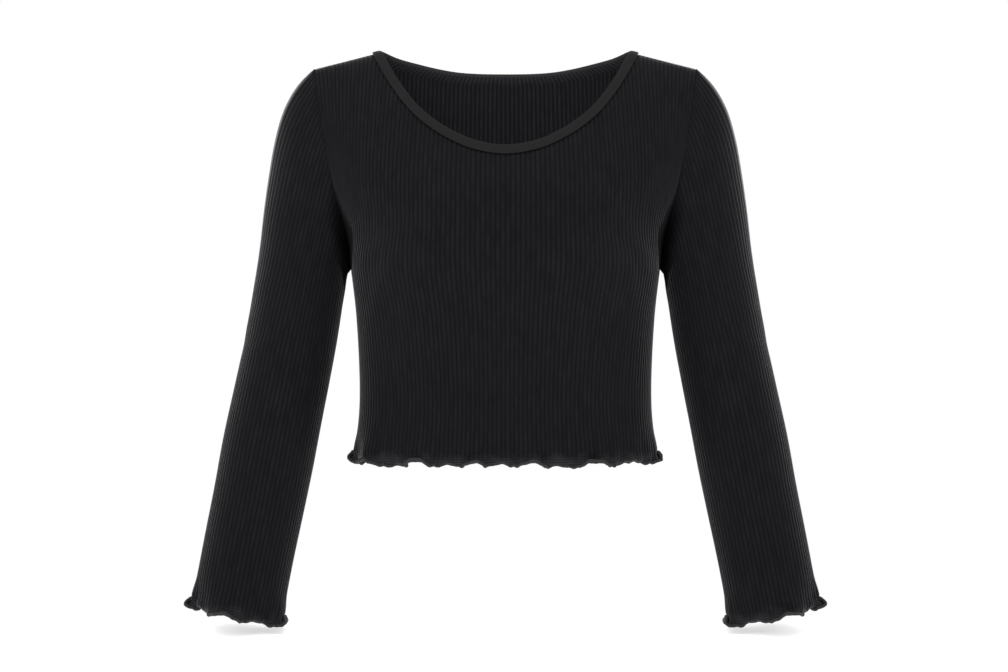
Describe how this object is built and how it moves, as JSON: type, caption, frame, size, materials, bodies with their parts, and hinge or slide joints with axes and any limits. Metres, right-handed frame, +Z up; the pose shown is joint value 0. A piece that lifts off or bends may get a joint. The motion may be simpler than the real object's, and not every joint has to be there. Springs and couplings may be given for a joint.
{
  "type": "long-sleeve crop top",
  "caption": "Long-sleeved rib-knit crop top with a wide scoop neck, a narrow neck binding and lettuce edges at hem and cuffs, filled out as when worn.",
  "frame": {"origin": "midway between the two neck points, at the height of the shoulder seams' inner ends, where the garment hangs from the wearer", "axes": "+Z up, -Y out of the front, +X towards the wearer's left"},
  "size_m": [0.6273, 0.2249, 0.5732],
  "materials": {
    "rib_knit": "matte black rib knit",
    "binding_knit": "matte black plain knit"
  },
  "bodies": {
    "root": {"front": "rib_knit", "back": "rib_knit", "sleeve_left": "rib_knit", "sleeve_right": "rib_knit", "neck_binding": "binding_knit"}
  },
  "joints": []
}
